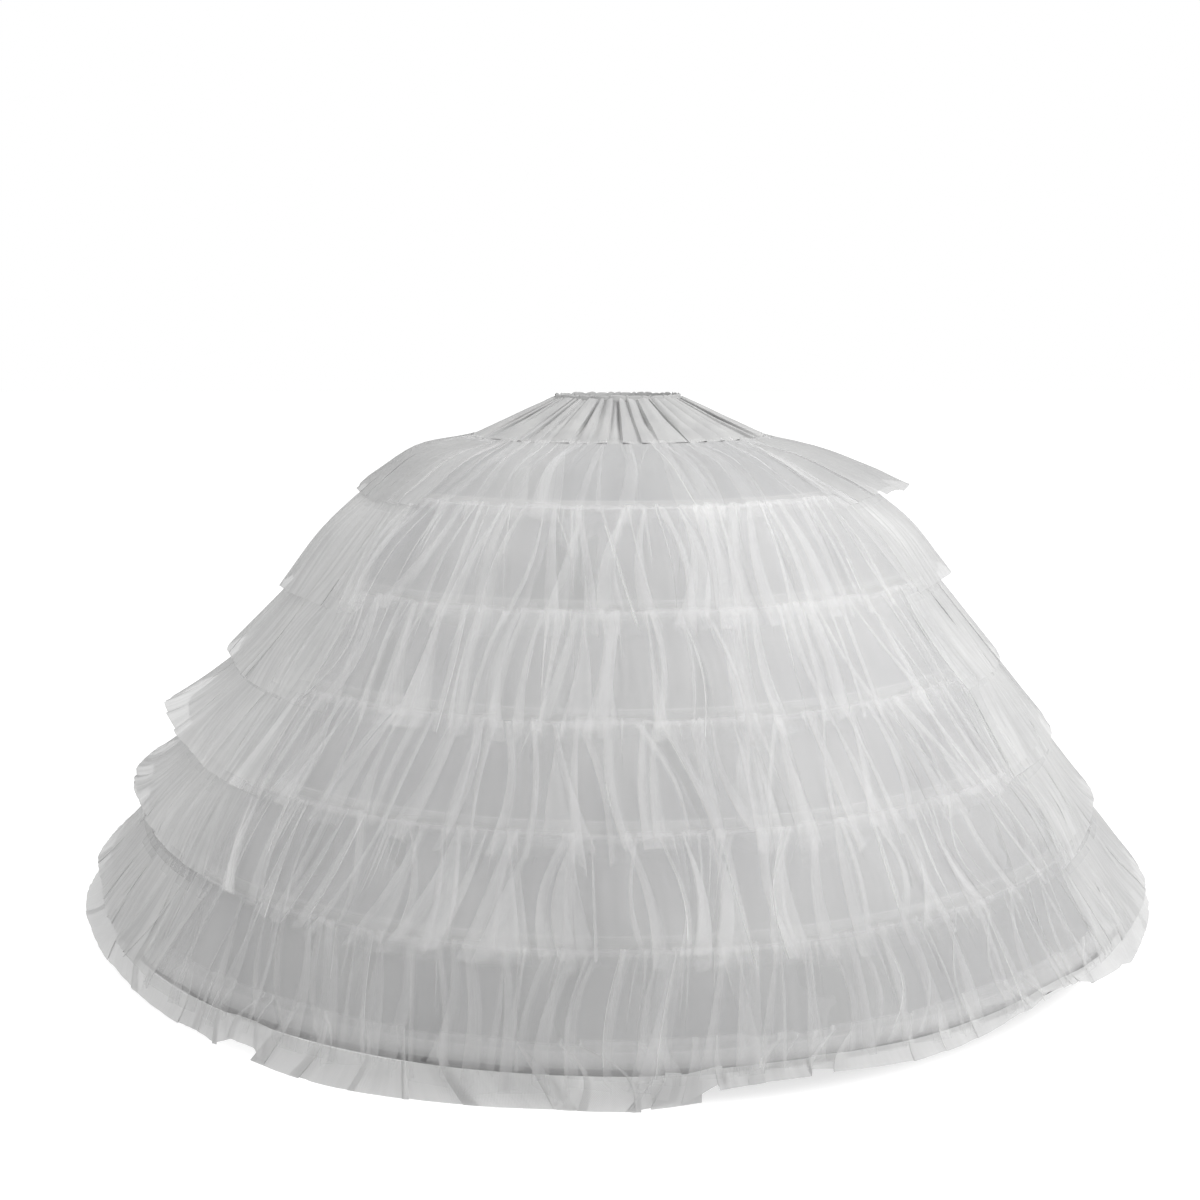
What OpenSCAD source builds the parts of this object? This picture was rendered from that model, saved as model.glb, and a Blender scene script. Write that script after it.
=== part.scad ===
// Tiered hoop petticoat, the cage that spreads a ball gown.
// A gathered yoke hangs from an elastic waistband. Below it the lining flares in sewn tiers.
// Each tier ends in a casing that holds one closed hoop, and a net ruffle hangs from each seam.
// Millimetres, +Z up. The origin is the centre of the waist opening, half way up the waistband.

/* [Waist] */
// Inside radius of the waistband, drawn up round the waist
waist_r = 108; // [95:1:130]
// Height of the waistband
waistband_h = 14; // [12:1:30]
// Thickness of one leaf of the waistband's folded cloth
band_cloth_t = 1.2; // [0.8:0.1:2]
// Thickness of the elastic
elastic_t = 1.5; // [1:0.1:2.5]
// Height of the elastic
elastic_h = 10; // [6:0.5:10]
// Slack round the elastic inside the waistband
elastic_ease = 0.3; // [0.2:0.1:0.8]

/* [Yoke] */
// Radius of the seam under the gathered yoke
yoke_r = 260; // [220:5:320]
// Drop from the middle of the waistband to that seam
yoke_drop = 60; // [50:1:80]
// Thickness of the yoke's cloth
yoke_t = 1; // [0.6:0.1:1.6]
// Number of gathers round the yoke
yoke_gathers = 36; // [20:1:44]
// How far a gather stands from the yoke's mean surface
yoke_gather_depth = 5; // [2:0.5:8]

/* [Hoops] */
// Number of hoops, and of lining tiers
hoop_count = 6; // [4:1:7]
// Radius of the lining at the top hoop
top_hoop_r = 440; // [400:5:520]
// Radius of the lining at the bottom hoop
bottom_hoop_r = 900; // [800:5:1000]
// Drop from the middle of the waistband to the seam at the top hoop
top_hoop_drop = 147; // [125:1:180]
// Mean height between one hoop seam and the next
hoop_pitch = 132; // [110:1:160]
// How far the middle hoops hang below even spacing, as a share of the whole drop
hoop_crowding = 0.07; // [0:0.01:0.15]
// How far the hoops swell outside a straight cone, as a share of the flare
fullness = 0.25; // [0:0.05:0.4]
// Width of the hoop's flat strip
hoop_w = 8; // [5:0.5:12]
// Thickness of the hoop's flat strip
hoop_t = 1.6; // [1:0.1:2.5]
// Gap between the two ends of a hoop, inside its joiner
hoop_end_gap = 2; // [0.5:0.5:5]

/* [Joiners] */
// Length of the sleeve that joins a hoop's ends
joiner_len = 50; // [30:1:80]
// Wall of that sleeve
joiner_t = 0.6; // [0.4:0.1:1]
// Clearance between the sleeve and the hoop
joiner_ease = 0.15; // [0.1:0.05:0.3]

/* [Lining and casings] */
// Thickness of the lining
lining_t = 1; // [0.6:0.1:2]
// Thickness of the casing tape
casing_t = 0.8; // [0.5:0.1:1.2]
// Width of the sewn edge on each side of a casing
stitch_w = 4; // [2:0.5:8]
// Distance from the seam up to the casing's lower edge
casing_rise = 2; // [1:0.5:10]
// Slack round the joiner inside the casing
casing_ease = 0.3; // [0.2:0.1:1]
// Gap left at every sewn contact
sewn_gap = 0.1; // [0.05:0.05:0.3]

/* [Ruffles] */
// Thickness of the gathered net
ruffle_t = 1.2; // [0.8:0.1:1.6]
// Distance from a seam down to the top edge of the ruffle sewn on it
ruffle_heading = 2; // [1:0.5:6]
// Gap between the ruffle's top edge and the lining
ruffle_seat = 0.5; // [0.4:0.1:0.8]
// How far a ruffle hangs below the next seam
ruffle_overlap = 26; // [10:1:30]
// How far the lowest full ruffle hangs below the lining's hem
last_overlap = 12; // [5:1:14]
// Distance that a ruffle's hem stands off the lining's slope
ruffle_flare = 24; // [18:0.5:32]
// Depth of the folds at a ruffle's hem, from their middle
ruffle_fold = 8; // [3:0.5:8]
// Depth of the gathers at a ruffle's top edge, from their middle
heading_fold = 1.5; // [0.5:0.1:1.8]
// Width of one fold round the skirt
fold_pitch = 90; // [80:1:140]
// Most that a hem rises above its full depth
hem_wander = 9; // [0:1:12]
// Distance from the lining's hem up to the top of the hem flounce
flounce_rise = 30; // [24:1:50]
// How far the hem flounce hangs below the lining's hem
flounce_drop = 64; // [40:1:80]
// Distance that the flounce's edge stands off the lining's slope
flounce_flare = 10; // [10:0.5:20]

/* [Hidden] */
$fn = 128;
cloth_white = [0.86, 0.86, 0.86];
lining_white = [0.76, 0.76, 0.76];
tape_white = [0.82, 0.82, 0.82];
net_white = [0.9, 0.9, 0.9];
coated_white = [0.93, 0.93, 0.92];
zinc_grey = [0.66, 0.67, 0.69];
back_angle = 90; // every hoop is joined at the centre back
web_slope = 0.6; // a casing's side leans this much for each unit of its depth
ruffle_rows = [0, 0.25, 0.6, 1]; // shares of a ruffle's depth where its folds are shaped
yoke_rows = [0, 0.3, 0.7, 1]; // the same down the yoke
yoke_seam_fold = 0.6; // depth of the gathers where the yoke is sewn to a flat edge
flounce_curl = 3; // the flounce stays flat under the ruffle above it, then opens
least_fold = 0.5; // the shallowest fold, as a share of the deepest
fold_stray = 0.25; // how far a fold line strays sideways, as a share of its spacing
ruffle_count = hoop_count + 1;

// Waistband: two leaves of folded cloth with the elastic between them
outer_leaf_r = waist_r + band_cloth_t + elastic_t + 2 * elastic_ease;
band_outer_r = outer_leaf_r + band_cloth_t;
band_top = waistband_h / 2;
band_mid_r = (waist_r + band_outer_r) / 2;
elastic_top = band_top - band_cloth_t - elastic_ease;

// Seams: number 0 is the yoke's, and each hoop's seam follows
function hoop_share(i) = (i - 1) / (hoop_count - 1);
function hoop_swell(t) = t + fullness * t * (1 - t);
function hoop_r(i) = top_hoop_r + (bottom_hoop_r - top_hoop_r) * hoop_swell(hoop_share(i));
function hoop_fall(t) = t + hoop_crowding * t * (1 - t);
function hoop_z(i) = -top_hoop_drop - hoop_pitch * (hoop_count - 1) * hoop_fall(hoop_share(i));
function seam(i) = i == 0 ? [yoke_r, -yoke_drop] : [hoop_r(i), hoop_z(i)];

// Tier i runs from seam i - 1 down to seam i. Points on it are [radius, height].
function tier_len(i) = norm(seam(i) - seam(i - 1));
function tier_down(i) = (seam(i) - seam(i - 1)) / tier_len(i);
function tier_out(i) = [-tier_down(i)[1], tier_down(i)[0]];
function on_tier(i, down, out) = seam(i - 1) + tier_down(i) * down + tier_out(i) * out;
function level_t(i, t) = t / tier_out(i)[0]; // a wall of thickness t, measured level

// Casing: a tape sewn along both edges to the inside of the lining, just above the seam
joiner_wall = joiner_t + joiner_ease;
pocket_w = hoop_w + 2 * joiner_wall + 2 * casing_ease;
pocket_d = hoop_t + 2 * joiner_wall + 2 * casing_ease;
web = pocket_d * web_slope;
pocket_low = casing_rise + stitch_w + web;
pocket_high = pocket_low + pocket_w;
pocket_mid = pocket_low + pocket_w / 2;
casing_high = pocket_high + web + stitch_w;
function inside_tier(i, up, depth) = on_tier(i, tier_len(i) - up, -lining_t - sewn_gap - depth);
function inside_box(i, half_w, low_d, high_d) = [
    inside_tier(i, pocket_mid - half_w, low_d),
    inside_tier(i, pocket_mid + half_w, low_d),
    inside_tier(i, pocket_mid + half_w, high_d),
    inside_tier(i, pocket_mid - half_w, high_d)
];

// Ruffle k hangs on tier k, and the last one is the flounce on the lining's hem
function is_flounce(k) = k > hoop_count;
function ruffle_tier(k) = min(k, hoop_count);
function ruffle_from(k) = is_flounce(k) ? tier_len(hoop_count) - flounce_rise : ruffle_heading;
function ruffle_to(k) = tier_len(ruffle_tier(k))
    + (is_flounce(k) ? flounce_drop : k == hoop_count ? last_overlap : ruffle_overlap);
function ruffle_seat_mid() = ruffle_seat + ruffle_t / 2 + heading_fold;
function flare(k) = is_flounce(k) ? flounce_flare : ruffle_flare;
function opening(k, u) = is_flounce(k) ? pow(u, flounce_curl) : u;
function grow(from, to, share) = from + (to - from) * share;
function ruffle_row(k, u) =
    let (share = opening(k, u), i = ruffle_tier(k))
    [on_tier(i, grow(ruffle_from(k), ruffle_to(k), u), grow(ruffle_seat_mid(), flare(k), share)),
     tier_out(i), grow(heading_fold, ruffle_fold, share), ruffle_t / 2, hem_wander * pow(u, 2), tier_down(i)];
function ruffle_middle(k) = (ruffle_from(k) + ruffle_to(k)) / 2;
function ruffle_folds(k) = round(2 * PI * on_tier(ruffle_tier(k), ruffle_middle(k), 0)[0] / fold_pitch);

// Yoke rows: level edges where it is sewn, and gathers that stand off its slope between them
yoke_top = [band_mid_r, -band_top - sewn_gap];
yoke_low = seam(0) + [-level_t(1, lining_t) / 2, sewn_gap];
yoke_down = (yoke_low - yoke_top) / norm(yoke_low - yoke_top);
yoke_out = [-yoke_down[1], yoke_down[0]];
function is_edge(u) = u == 0 || u == 1;
function yoke_row(u) = [
    grow(yoke_top, yoke_low, u),
    is_edge(u) ? [1, 0] : yoke_out,
    is_edge(u) ? yoke_seam_fold : yoke_gather_depth * sin(180 * u),
    yoke_t / 2,
    0,
    yoke_down
];

// A ring of cloth in zigzag folds, from rows of [middle, way out, fold depth, half thickness, wander, way down]
module folded_ring(rows, folds, seed) {
    n = 2 * folds;
    count = len(rows);
    depth = rands(least_fold, 1, n, seed);
    stray = rands(-fold_stray, fold_stray, n, seed + 1);
    rise = rands(0, 1, n, seed + 2);
    function zigzag(m) = (m % 2 == 0 ? -1 : 1) * depth[m];
    function corner(row, m, side) =
        let (out = row[2] * zigzag(m) + side * row[3],
             at = row[0] + row[1] * out - row[5] * row[4] * rise[m],
             angle = 360 * (m + stray[m]) / n)
        [at[0] * cos(angle), at[0] * sin(angle), at[1]];
    function place(side, j, m) = (side * count + j) * n + m % n;
    points = [for (side = [1, -1], row = rows, m = [0:n - 1]) corner(row, m, side)];
    outer = [for (j = [0:count - 2], m = [0:n - 1]) each [
        [place(0, j, m), place(0, j, m + 1), place(0, j + 1, m + 1)],
        [place(0, j, m), place(0, j + 1, m + 1), place(0, j + 1, m)]
    ]];
    inner = [for (j = [0:count - 2], m = [0:n - 1]) each [
        [place(1, j, m), place(1, j + 1, m + 1), place(1, j, m + 1)],
        [place(1, j, m), place(1, j + 1, m), place(1, j + 1, m + 1)]
    ]];
    top_edge = [for (m = [0:n - 1]) each [
        [place(0, 0, m), place(1, 0, m), place(1, 0, m + 1)],
        [place(0, 0, m), place(1, 0, m + 1), place(0, 0, m + 1)]
    ]];
    low = count - 1;
    low_edge = [for (m = [0:n - 1]) each [
        [place(0, low, m), place(1, low, m + 1), place(1, low, m)],
        [place(0, low, m), place(0, low, m + 1), place(1, low, m + 1)]
    ]];
    polyhedron(points, concat(outer, inner, top_edge, low_edge), convexity = 10);
}

// Folded cloth, open below where the yoke is sewn in
module waistband() {
    color(cloth_white)
        rotate_extrude()
            polygon([
                [waist_r, -band_top],
                [waist_r + band_cloth_t, -band_top],
                [waist_r + band_cloth_t, band_top - band_cloth_t],
                [outer_leaf_r, band_top - band_cloth_t],
                [outer_leaf_r, -band_top],
                [band_outer_r, -band_top],
                [band_outer_r, band_top],
                [waist_r, band_top]
            ]);
}

module waist_elastic() {
    color(coated_white)
        translate([0, 0, elastic_top - elastic_h])
            rotate_extrude()
                translate([waist_r + band_cloth_t + elastic_ease, 0])
                    square([elastic_t, elastic_h]);
}

module yoke() {
    color(cloth_white)
        folded_ring([for (u = yoke_rows) yoke_row(u)], yoke_gathers, 3);
}

// One flared tier of the lining, cut level at both seams
module lining_tier(i) {
    wall = [level_t(i, lining_t), 0];
    color(lining_white)
        rotate_extrude()
            polygon([seam(i - 1), seam(i), seam(i) - wall, seam(i - 1) - wall]);
}

// Tape with two sewn edges and a raised pocket for the hoop
module hoop_casing(i) {
    outline = [
        [casing_rise, 0],
        [casing_rise + stitch_w, 0],
        [pocket_low, pocket_d],
        [pocket_high, pocket_d],
        [casing_high - stitch_w, 0],
        [casing_high, 0],
        [casing_high, casing_t],
        [casing_high - stitch_w + casing_t, casing_t],
        [pocket_high + casing_t, pocket_d + casing_t],
        [pocket_low - casing_t, pocket_d + casing_t],
        [casing_rise + stitch_w - casing_t, casing_t],
        [casing_rise, casing_t]
    ];
    color(tape_white)
        rotate_extrude()
            polygon([for (p = outline) inside_tier(i, p[0], p[1])]);
}

// A flat coated strip bent into a ring, open by a small gap at the centre back
module hoop(i) {
    open_angle = hoop_end_gap / hoop_r(i) * 180 / PI;
    low = casing_ease + joiner_wall;
    color(coated_white)
        rotate([0, 0, back_angle + open_angle / 2])
            rotate_extrude(angle = 360 - open_angle)
                polygon(inside_box(i, hoop_w / 2, low, low + hoop_t));
}

// A flat sleeve over the two ends of a hoop
module hoop_joiner(i) {
    turn = joiner_len / hoop_r(i) * 180 / PI;
    high = casing_ease + 2 * joiner_wall + hoop_t;
    color(zinc_grey)
        difference() {
            rotate([0, 0, back_angle - turn / 2])
                rotate_extrude(angle = turn)
                    polygon(inside_box(i, hoop_w / 2 + joiner_wall, casing_ease, high));
            rotate([0, 0, back_angle - turn])
                rotate_extrude(angle = 2 * turn)
                    polygon(inside_box(i, hoop_w / 2 + joiner_ease, casing_ease + joiner_t, high - joiner_t));
        }
}

module ruffle(k) {
    color(net_white)
        folded_ring([for (u = ruffle_rows) ruffle_row(k, u)], ruffle_folds(k), 10 * k);
}

waistband();
waist_elastic();
yoke();
for (i = [1:hoop_count]) {
    lining_tier(i);
    hoop_casing(i);
    hoop(i);
    hoop_joiner(i);
}
for (k = [1:ruffle_count]) {
    ruffle(k);
}
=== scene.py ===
import math

import bmesh
import bpy
import numpy as np
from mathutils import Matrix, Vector


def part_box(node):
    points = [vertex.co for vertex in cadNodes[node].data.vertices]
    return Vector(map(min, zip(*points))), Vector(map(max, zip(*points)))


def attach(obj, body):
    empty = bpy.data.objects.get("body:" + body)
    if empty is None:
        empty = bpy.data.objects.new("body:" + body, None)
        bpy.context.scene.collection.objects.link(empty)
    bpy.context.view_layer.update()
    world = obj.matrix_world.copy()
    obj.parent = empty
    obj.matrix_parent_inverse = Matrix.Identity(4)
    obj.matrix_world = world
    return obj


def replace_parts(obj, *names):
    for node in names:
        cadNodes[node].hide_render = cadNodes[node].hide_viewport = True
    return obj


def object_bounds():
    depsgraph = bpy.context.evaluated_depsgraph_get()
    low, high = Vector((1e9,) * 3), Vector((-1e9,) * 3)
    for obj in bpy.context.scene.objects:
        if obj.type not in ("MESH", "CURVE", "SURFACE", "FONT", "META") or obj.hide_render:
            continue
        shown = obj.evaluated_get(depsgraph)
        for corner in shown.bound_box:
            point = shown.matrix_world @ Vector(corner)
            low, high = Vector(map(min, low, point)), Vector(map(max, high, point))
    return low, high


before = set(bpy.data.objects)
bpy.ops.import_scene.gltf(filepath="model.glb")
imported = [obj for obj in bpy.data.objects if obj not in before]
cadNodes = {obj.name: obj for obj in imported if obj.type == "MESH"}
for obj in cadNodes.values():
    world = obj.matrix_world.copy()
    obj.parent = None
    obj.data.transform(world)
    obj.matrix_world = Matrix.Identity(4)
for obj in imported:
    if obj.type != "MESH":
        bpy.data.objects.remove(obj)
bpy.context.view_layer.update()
hoopCount = sum(name.startswith("lining_tier_") for name in cadNodes)
ruffleCount = sum(name.startswith("ruffle_") for name in cadNodes)
fullTurn = 2 * math.pi
print("frame loaded:", len(cadNodes), "nodes,", hoopCount, "hoops")


# where the sewing lines lie, as [radius, height]

def halfWidth(node):
    low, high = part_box(node)
    return (high.x - low.x) / 2


def unit(vector):
    return vector / np.linalg.norm(vector)


seams = [np.array((halfWidth("yoke"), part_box("yoke")[0].z))]
for tier in range(1, hoopCount + 1):
    tierNode = f"lining_tier_{tier}"
    seams.append(np.array((halfWidth(tierNode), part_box(tierNode)[0].z)))
waistRadius = halfWidth("waistband")
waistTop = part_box("waistband")[1].z
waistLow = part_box("waistband")[0].z
print("seams:", [tuple(round(float(x), 3) for x in seam) for seam in seams])


def tierLength(tier):
    return float(np.linalg.norm(seams[tier] - seams[tier - 1]))


# paths that cloth follows down the skirt

pathStep = 0.002  # metres between the points of a path


def smoothed(values, span):
    if span < 2:
        return values
    padded = np.pad(values, span, mode="reflect", reflect_type="odd")
    kernel = np.hanning(2 * span + 1)
    return np.convolve(padded, kernel / kernel.sum(), mode="same")[span:-span]


def pathFrom(corners, lead, past, softness):
    # a line through corners in [radius, height], with its outward direction at each step
    corners = [np.array(c, float) for c in corners]
    first = corners[0] - unit(corners[1] - corners[0]) * lead
    last = corners[-1] + unit(corners[-1] - corners[-2]) * past
    line = [first] + corners[1:-1] + [last]
    legs = [np.linalg.norm(b - a) for a, b in zip(line, line[1:])]
    marks = np.concatenate(([0.0], np.cumsum(legs)))
    steps = np.arange(0, marks[-1], pathStep)
    span = int(softness / pathStep)
    radius = smoothed(np.interp(steps, marks, [p[0] for p in line]), span)
    height = smoothed(np.interp(steps, marks, [p[1] for p in line]), span)
    alongR, alongZ = np.gradient(radius), np.gradient(height)
    size = np.hypot(alongR, alongZ)
    return {
        "down": steps - lead,
        "radius": radius,
        "height": height,
        "outR": -alongZ / size,
        "outZ": alongR / size,
    }


def onPath(path, down, out):
    # radius and height at a distance down the path and out from it
    pick = lambda key: np.interp(down, path["down"], path[key])
    return pick("radius") + pick("outR") * out, pick("height") + pick("outZ") * out


# rings of cloth

def wave(angle, rng, low, high):
    # a smooth random line round the skirt, about -1 to 1
    total = np.zeros_like(angle)
    for turns in range(low, high + 1):
        total += rng.normal() * np.cos(turns * angle + rng.uniform(0, fullTurn))
    return total / math.sqrt((high - low + 1) / 1.2)


def turned(radius, angle, height):
    return np.stack((radius * np.cos(angle), radius * np.sin(angle), height), axis=-1)


def clothRing(name, points, across, along, marks=None, kinds=None):
    # points[row, column], where the last column lies on the first one
    rows, columns = points.shape[:2]
    mesh = bpy.data.meshes.new(name)
    bm = bmesh.new()
    bmesh.ops.create_grid(bm, x_segments=columns - 1, y_segments=rows - 1, size=0.5)
    bm.loops.layers.uv.new("cloth")
    bm.to_mesh(mesh)
    bm.free()
    spot = np.empty(len(mesh.vertices) * 3)
    mesh.vertices.foreach_get("co", spot)
    spot = spot.reshape(-1, 3) + 0.5
    column = np.rint(spot[:, 0] * (columns - 1)).astype(int)
    row = np.rint(spot[:, 1] * (rows - 1)).astype(int)
    mesh.vertices.foreach_set("co", points[row, column].ravel())
    corner = np.empty(len(mesh.loops), dtype=int)
    mesh.loops.foreach_get("vertex_index", corner)
    flat = np.stack((across[column[corner]], along[row[corner]]), axis=1)
    mesh.uv_layers["cloth"].data.foreach_set("uv", flat.ravel())
    for key, values in (marks or {}).items():
        layer = mesh.attributes.new(key, "FLOAT", "POINT")
        layer.data.foreach_set("value", values[row, column].astype(np.float32))
    if kinds is not None:
        first = corner.reshape(-1, 4)
        kind = kinds[row[first].min(axis=1), column[first].min(axis=1)]
        mesh.polygons.foreach_set("material_index", kind.astype(np.int32))
    bm = bmesh.new()
    bm.from_mesh(mesh)
    bmesh.ops.remove_doubles(bm, verts=bm.verts, dist=2e-6)
    bmesh.ops.reverse_faces(bm, faces=bm.faces)
    for face in bm.faces:
        face.smooth = True
    bm.to_mesh(mesh)
    bm.free()
    piece = bpy.data.objects.new(name, mesh)
    bpy.context.scene.collection.objects.link(piece)
    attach(piece, "root")
    return piece


def thickened(piece, thickness):
    bm = bmesh.new()
    bm.from_mesh(piece.data)
    for edge in bm.edges:
        edge.smooth = not edge.is_boundary
    bm.to_mesh(piece.data)
    bm.free()
    wall = piece.modifiers.new("thickness", "SOLIDIFY")
    wall.thickness = thickness
    wall.offset = -1


def foldedCloth(name, path, down, middle, pleats, wander, counts, faceKinds=None):
    # rows of cloth that fold back on themselves at each pleat
    arc, straight, plain = counts  # points on a roll, on the run between rolls, and between pleats
    rows, count = pleats["run"].shape
    run, turn, roll = pleats["run"], pleats["turn"], pleats["roll"]
    side = pleats["side"][None, :, None]
    baseR = onPath(path, down, middle)[0][:, None]
    reach = 2 * roll * np.sin(turn) + run * np.cos(turn)
    lift = 2 * roll * (1 - np.cos(turn)) + run * np.sin(turn)
    run, turn, roll = run[..., None], turn[..., None], roll[..., None]
    q = np.linspace(0, 1, arc)
    opening = turn * q
    closing = turn * (1 - q)
    share = np.linspace(0, 1, straight + 2)[1:-1]
    bendX, bendY = roll * np.sin(turn), roll * (1 - np.cos(turn))
    foldX = np.concatenate((
        roll * np.sin(opening),
        bendX + run * share * np.cos(turn),
        bendX + run * np.cos(turn) + bendX - roll * np.sin(closing),
    ), axis=2)
    foldY = np.concatenate((
        roll * (1 - np.cos(opening)),
        bendY + run * share * np.sin(turn),
        bendY + run * np.sin(turn) + roll * (np.cos(closing) - np.cos(turn)),
    ), axis=2)
    centre = pleats["angle"] * baseR + pleats["shift"]
    foldX = foldX - reach[..., None] / 2 + centre[..., None]
    foldY = (foldY - lift[..., None] / 2) * side
    startX, startY = foldX[:, :, :1], foldY[:, :, :1]
    nextX = np.roll(startX, -1, axis=1)
    nextX[:, -1] += fullTurn * baseR
    nextY = np.roll(startY, -1, axis=1)
    q = np.linspace(0, 1, plain + 2)[1:-1]
    ease = q * q * (3 - 2 * q)
    plainX = foldX[:, :, -1:] + (nextX - foldX[:, :, -1:]) * q
    plainY = foldY[:, :, -1:] + (nextY - foldY[:, :, -1:]) * ease
    plainY = plainY + pleats["puff"][..., None] * np.sin(math.pi * q) ** 2
    if "crumple" in pleats:
        waves = fullTurn * (plainX - foldX[:, :, -1:]) / pleats["ripple"][..., None]
        waves = waves + pleats["phase"][..., None]
        plainY = plainY + pleats["crumple"][..., None] * np.sin(math.pi * q) * np.sin(waves)
    crossX = np.concatenate((foldX, plainX), axis=2).reshape(rows, -1)
    crossY = np.concatenate((foldY, plainY), axis=2).reshape(rows, -1)
    crossX = np.concatenate((crossX, crossX[:, :1] + fullTurn * baseR), axis=1)
    crossY = np.concatenate((crossY, crossY[:, :1]), axis=1)
    # the hem rises and falls between pleats, and jumps at each one
    before, after = wander[:, 0], wander[:, 1]
    jump = np.linspace(0, 1, 2 * arc + straight)
    drop = np.concatenate((
        before[:, None] + (after - before)[:, None] * jump,
        after[:, None] + (np.roll(before, -1) - after)[:, None] * q,
    ), axis=1).ravel()
    drop = np.concatenate((drop, drop[:1]))
    hang = np.clip(down / down[-1], 0, 1)[:, None] ** 2
    lie = down[:, None] + hang * drop
    if "topEdge" in pleats:
        rise = np.repeat(pleats["topEdge"], 2 * arc + straight + plain)
        lie = lie - np.clip(-down / -down[0], 0, 1)[:, None] * np.append(rise, rise[0])
    angle = crossX / baseR
    swell = pleats["swell"](angle) if "swell" in pleats else 0
    radius, height = onPath(path, lie, middle[:, None] + crossY + swell)
    points = turned(radius, angle, height)
    steps = np.linalg.norm(np.diff(points, axis=1), axis=2)
    across = np.concatenate(([0.0], np.cumsum(steps.mean(axis=0))))
    piece = clothRing(name, points, across, down, kinds=faceKinds)
    return piece, float(across[-1])


# materials

def plainMaterial(name, colour, roughness):
    material = bpy.data.materials.new(name)
    material.use_nodes = True
    shader = material.node_tree.nodes["Principled BSDF"]
    shader.inputs["Base Color"].default_value = (*colour, 1)
    shader.inputs["Roughness"].default_value = roughness
    return material, material.node_tree.nodes, material.node_tree.links, shader


def node(nodes, kind, **settings):
    made = nodes.new(kind)
    for key, value in settings.items():
        if key in made.inputs:
            made.inputs[key].default_value = value
        else:
            setattr(made, key, value)
    return made


def ramp(nodes, links, source, low, high):
    # maps 0..1 onto two greys or colours, given at two positions
    made = node(nodes, "ShaderNodeValToRGB")
    for element, (position, colour) in zip(made.color_ramp.elements, (low, high)):
        element.position = position
        element.color = (*colour, 1)
    links.new(source, made.inputs["Fac"])
    return made.outputs["Color"]


def math2(nodes, links, operation, first, second):
    made = node(nodes, "ShaderNodeMath", operation=operation)
    for socket, value in zip(made.inputs, (first, second)):
        if isinstance(value, (int, float)):
            socket.default_value = value
        else:
            links.new(value, socket)
    return made.outputs[0]


def mixed(nodes, links, mode, share, first, second):
    made = node(nodes, "ShaderNodeMix", data_type="RGBA", blend_type=mode)
    pairs = ((made.inputs[0], share), (made.inputs[6], first), (made.inputs[7], second))
    for socket, value in pairs:
        if isinstance(value, (int, float)):
            socket.default_value = value
        elif isinstance(value, tuple):
            socket.default_value = (*value, 1)
        else:
            links.new(value, socket)
    return made.outputs[2]


bandPeriod = 0.314  # distance between a wave texture's bands at a scale of 1


def clothMap(nodes):
    return node(nodes, "ShaderNodeUVMap", uv_map="cloth").outputs["UV"]


def objectMap(nodes):
    return node(nodes, "ShaderNodeTexCoord").outputs["Object"]


def mapped(nodes, links, place, **settings):
    made = node(nodes, "ShaderNodeMapping", **settings)
    links.new(place, made.inputs["Vector"])
    return made.outputs["Vector"]


def bands(nodes, links, place, pitch, direction="X"):
    made = node(nodes, "ShaderNodeTexWave", wave_type="BANDS", bands_direction=direction)
    made.inputs["Scale"].default_value = bandPeriod / pitch
    links.new(place, made.inputs["Vector"])
    return made.outputs["Fac"]


def grain(nodes, links, place, scale, detail):
    made = node(nodes, "ShaderNodeTexNoise", Scale=scale, Detail=detail)
    links.new(place, made.inputs["Vector"])
    return made.outputs["Fac"]


def clouds(nodes, links, scale):
    return grain(nodes, links, objectMap(nodes), scale, 3.0)


def marked(nodes, name):
    # a value that the cloth carries at each of its points
    return node(nodes, "ShaderNodeAttribute", attribute_name=name).outputs["Fac"]


def threads(nodes, links, pitch, turn=0.0):
    # two crossing sets of threads on the cloth's own map, 0 in the gaps and 1 on the threads
    place = mapped(nodes, links, clothMap(nodes), Rotation=(0, 0, math.radians(turn)))
    sets = [bands(nodes, links, place, pitch, direction) for direction in ("X", "Y")]
    return math2(nodes, links, "MAXIMUM", *sets)


def patchy(nodes, links, scale, low, high):
    # two colours that pass into each other in soft patches
    return ramp(nodes, links, clouds(nodes, links, scale), (0.3, low), (0.7, high))


def shaded(nodes, links, base, source, dark, ends):
    # the base, darker where the source is low
    shade = ramp(nodes, links, source, (ends[0], (dark,) * 3), (ends[1], (1, 1, 1)))
    return mixed(nodes, links, "MULTIPLY", 1.0, base, shade)


def roughened(nodes, links, shader, source, most, least):
    # rougher where the source is low
    rough = ramp(nodes, links, source, (0.3, (most,) * 3), (0.7, (least,) * 3))
    links.new(rough, shader.inputs["Roughness"])


def bumped(nodes, links, shader, height, strength, distance):
    bump = node(nodes, "ShaderNodeBump", Strength=strength, Distance=distance)
    links.new(height, bump.inputs["Height"])
    links.new(bump.outputs["Normal"], shader.inputs["Normal"])


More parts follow.
